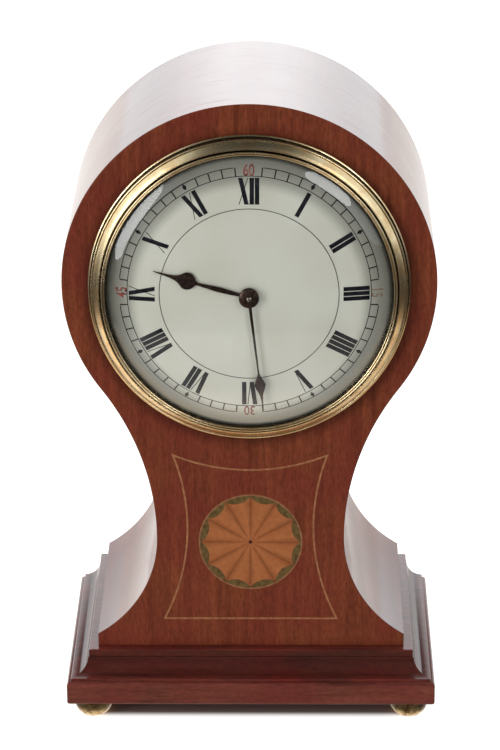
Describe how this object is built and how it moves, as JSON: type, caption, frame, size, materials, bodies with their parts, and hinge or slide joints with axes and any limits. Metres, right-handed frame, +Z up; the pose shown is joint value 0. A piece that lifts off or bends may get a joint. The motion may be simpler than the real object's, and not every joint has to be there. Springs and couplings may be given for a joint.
{
  "type": "balloon clock",
  "caption": "Waisted mantel clock in inlaid mahogany with a round head, convex glass, enamel dial, stepped plinth on brass feet, hinged back door and working movement.",
  "frame": {"origin": "centre of the footprint on the surface the clock stands on", "axes": "+Z up, -Y to the front of the dial, +X to the right as seen from the front"},
  "size_m": [0.1186, 0.0901, 0.2056],
  "materials": {
    "mahogany": "french polished mahogany veneer",
    "boxwood": "polished boxwood line",
    "satinwood": "sand shaded satinwood",
    "stained_wood": "green stained holly",
    "brass": "polished and lacquered",
    "steel": "polished steel",
    "blued_steel": "dark browned steel",
    "enamel": "white vitreous enamel",
    "glass": "clear convex glass"
  },
  "bodies": {
    "case": {"front_left_foot": "brass", "front_right_foot": "brass", "rear_left_foot": "brass", "rear_right_foot": "brass", "plinth_slab": "mahogany", "plinth_moulding": "mahogany", "carcass": "mahogany", "side_veneer": "mahogany", "front_panel": "mahogany", "back_panel": "mahogany", "stringing": "boxwood", "patera_petals": "satinwood", "patera_scallops": "stained_wood", "patera_ring": "boxwood", "bezel_mount": "brass", "front_bezel": "brass", "glass": "glass", "glass_ring": "brass", "dial": "enamel", "dial_pan": "brass", "movement_legs": "brass", "front_plate": "brass", "back_plate": "brass", "plate_pillars": "brass", "plate_screws": "steel", "fixing_straps": "brass", "strap_screws": "steel", "back_ring": "brass", "ring_screws": "brass", "hinge_pin": "steel", "click_spring": "steel", "platform": "brass", "platform_screws": "steel", "escape_bridge": "brass", "balance_cock": "brass"},
    "door": {"back_door": "brass", "door_knob": "brass"},
    "minute_set": {"centre_arbor": "steel", "cannon_pinion": "steel", "minute_hand": "blued_steel", "hand_collet": "blued_steel", "set_knob": "brass"},
    "hour_set": {"hour_wheel": "brass", "hour_hand": "blued_steel"},
    "motion_wheel": {"minute_wheel": "brass"},
    "spring_barrel": {"barrel": "brass", "barrel_cap": "brass", "mainspring": "steel"},
    "winding": {"barrel_arbor": "steel", "ratchet_wheel": "steel"},
    "click_pawl": {"click": "steel"},
    "intermediate": {"intermediate_wheel": "brass"},
    "centre": {"centre_wheel": "brass"},
    "third": {"third_wheel": "brass"},
    "fourth": {"fourth_wheel": "brass"},
    "escape": {"escape_wheel": "steel"},
    "lever": {"pallet_lever": "steel"},
    "balance": {"balance_wheel": "brass", "hairspring": "blued_steel"},
    "index": {"regulator": "steel"}
  },
  "joints": [
    {"name": "door_swing", "type": "hinge", "parent": "case", "child": "door", "pos_m": [-0.0422, 0.04065, 0.14625], "axis": [0, 0, 1], "range_deg": [0, 110]},
    {"name": "hand_setting", "type": "hinge", "parent": "case", "child": "minute_set", "pos_m": [0, 0.02075, 0.14625], "axis": [0, 1, 0], "continuous": true},
    {"name": "hour_turn", "type": "hinge", "parent": "case", "child": "hour_set", "pos_m": [0, -0.03325, 0.14625], "axis": [0, 1, 0], "continuous": true},
    {"name": "motion_turn", "type": "hinge", "parent": "case", "child": "motion_wheel", "pos_m": [0.00831, -0.02625, 0.14145], "axis": [0, 1, 0], "continuous": true},
    {"name": "third_turn", "type": "hinge", "parent": "case", "child": "third", "pos_m": [0.00938, -0.01125, 0.15412], "axis": [0, 1, 0], "continuous": true},
    {"name": "centre_turn", "type": "hinge", "parent": "case", "child": "centre", "pos_m": [0, -0.01925, 0.14625], "axis": [0, 1, 0], "continuous": true},
    {"name": "intermediate_turn", "type": "hinge", "parent": "case", "child": "intermediate", "pos_m": [-0.0126, -0.01725, 0.14625], "axis": [0, 1, 0], "continuous": true},
    {"name": "barrel_turn", "type": "hinge", "parent": "case", "child": "spring_barrel", "pos_m": [-0.00794, -0.00825, 0.12886], "axis": [0, 1, 0], "continuous": true},
    {"name": "fourth_turn", "type": "hinge", "parent": "case", "child": "fourth", "pos_m": [0.00749, -0.00025, 0.16483], "axis": [0, 1, 0], "continuous": true},
    {"name": "escape_turn", "type": "hinge", "parent": "case", "child": "escape", "pos_m": [-0.00252, 0.00875, 0.16483], "axis": [0, 1, 0], "continuous": true},
    {"name": "winding_turn", "type": "hinge", "parent": "case", "child": "winding", "pos_m": [-0.00794, 0.01675, 0.12886], "axis": [0, 1, 0], "range_deg": [-1440, 0]},
    {"name": "click_lift", "type": "hinge", "parent": "case", "child": "click_pawl", "pos_m": [0.00226, 0.00575, 0.12886], "axis": [0, 1, 0], "range_deg": [0, 12], "stiffness_Nm_per_rad": 0.0005, "springref_deg": -5.73},
    {"name": "lever_rock", "type": "hinge", "parent": "case", "child": "lever", "pos_m": [-0.00722, 0.00875, 0.16312], "axis": [0, 1, 0], "range_deg": [-5, 5]},
    {"name": "balance_swing", "type": "hinge", "parent": "case", "child": "balance", "pos_m": [-0.0123, 0.01175, 0.16128], "axis": [0, 1, 0], "range_deg": [-270, 270], "stiffness_Nm_per_rad": 0.0000033},
    {"name": "regulator_turn", "type": "hinge", "parent": "case", "child": "index", "pos_m": [-0.0123, 0.01745, 0.16128], "axis": [0, 1, 0], "range_deg": [-20, 20]}
  ],
  "couplings": [
    {"joint": "hour_turn", "follows": "hand_setting", "ratio": 0.083333},
    {"joint": "motion_turn", "follows": "hand_setting", "ratio": -0.33333},
    {"joint": "centre_turn", "follows": "third_turn", "ratio": -0.125},
    {"joint": "intermediate_turn", "follows": "third_turn", "ratio": 0.020833},
    {"joint": "barrel_turn", "follows": "third_turn", "ratio": -0.0026042},
    {"joint": "fourth_turn", "follows": "third_turn", "ratio": -7.5},
    {"joint": "escape_turn", "follows": "third_turn", "ratio": 75}
  ]
}
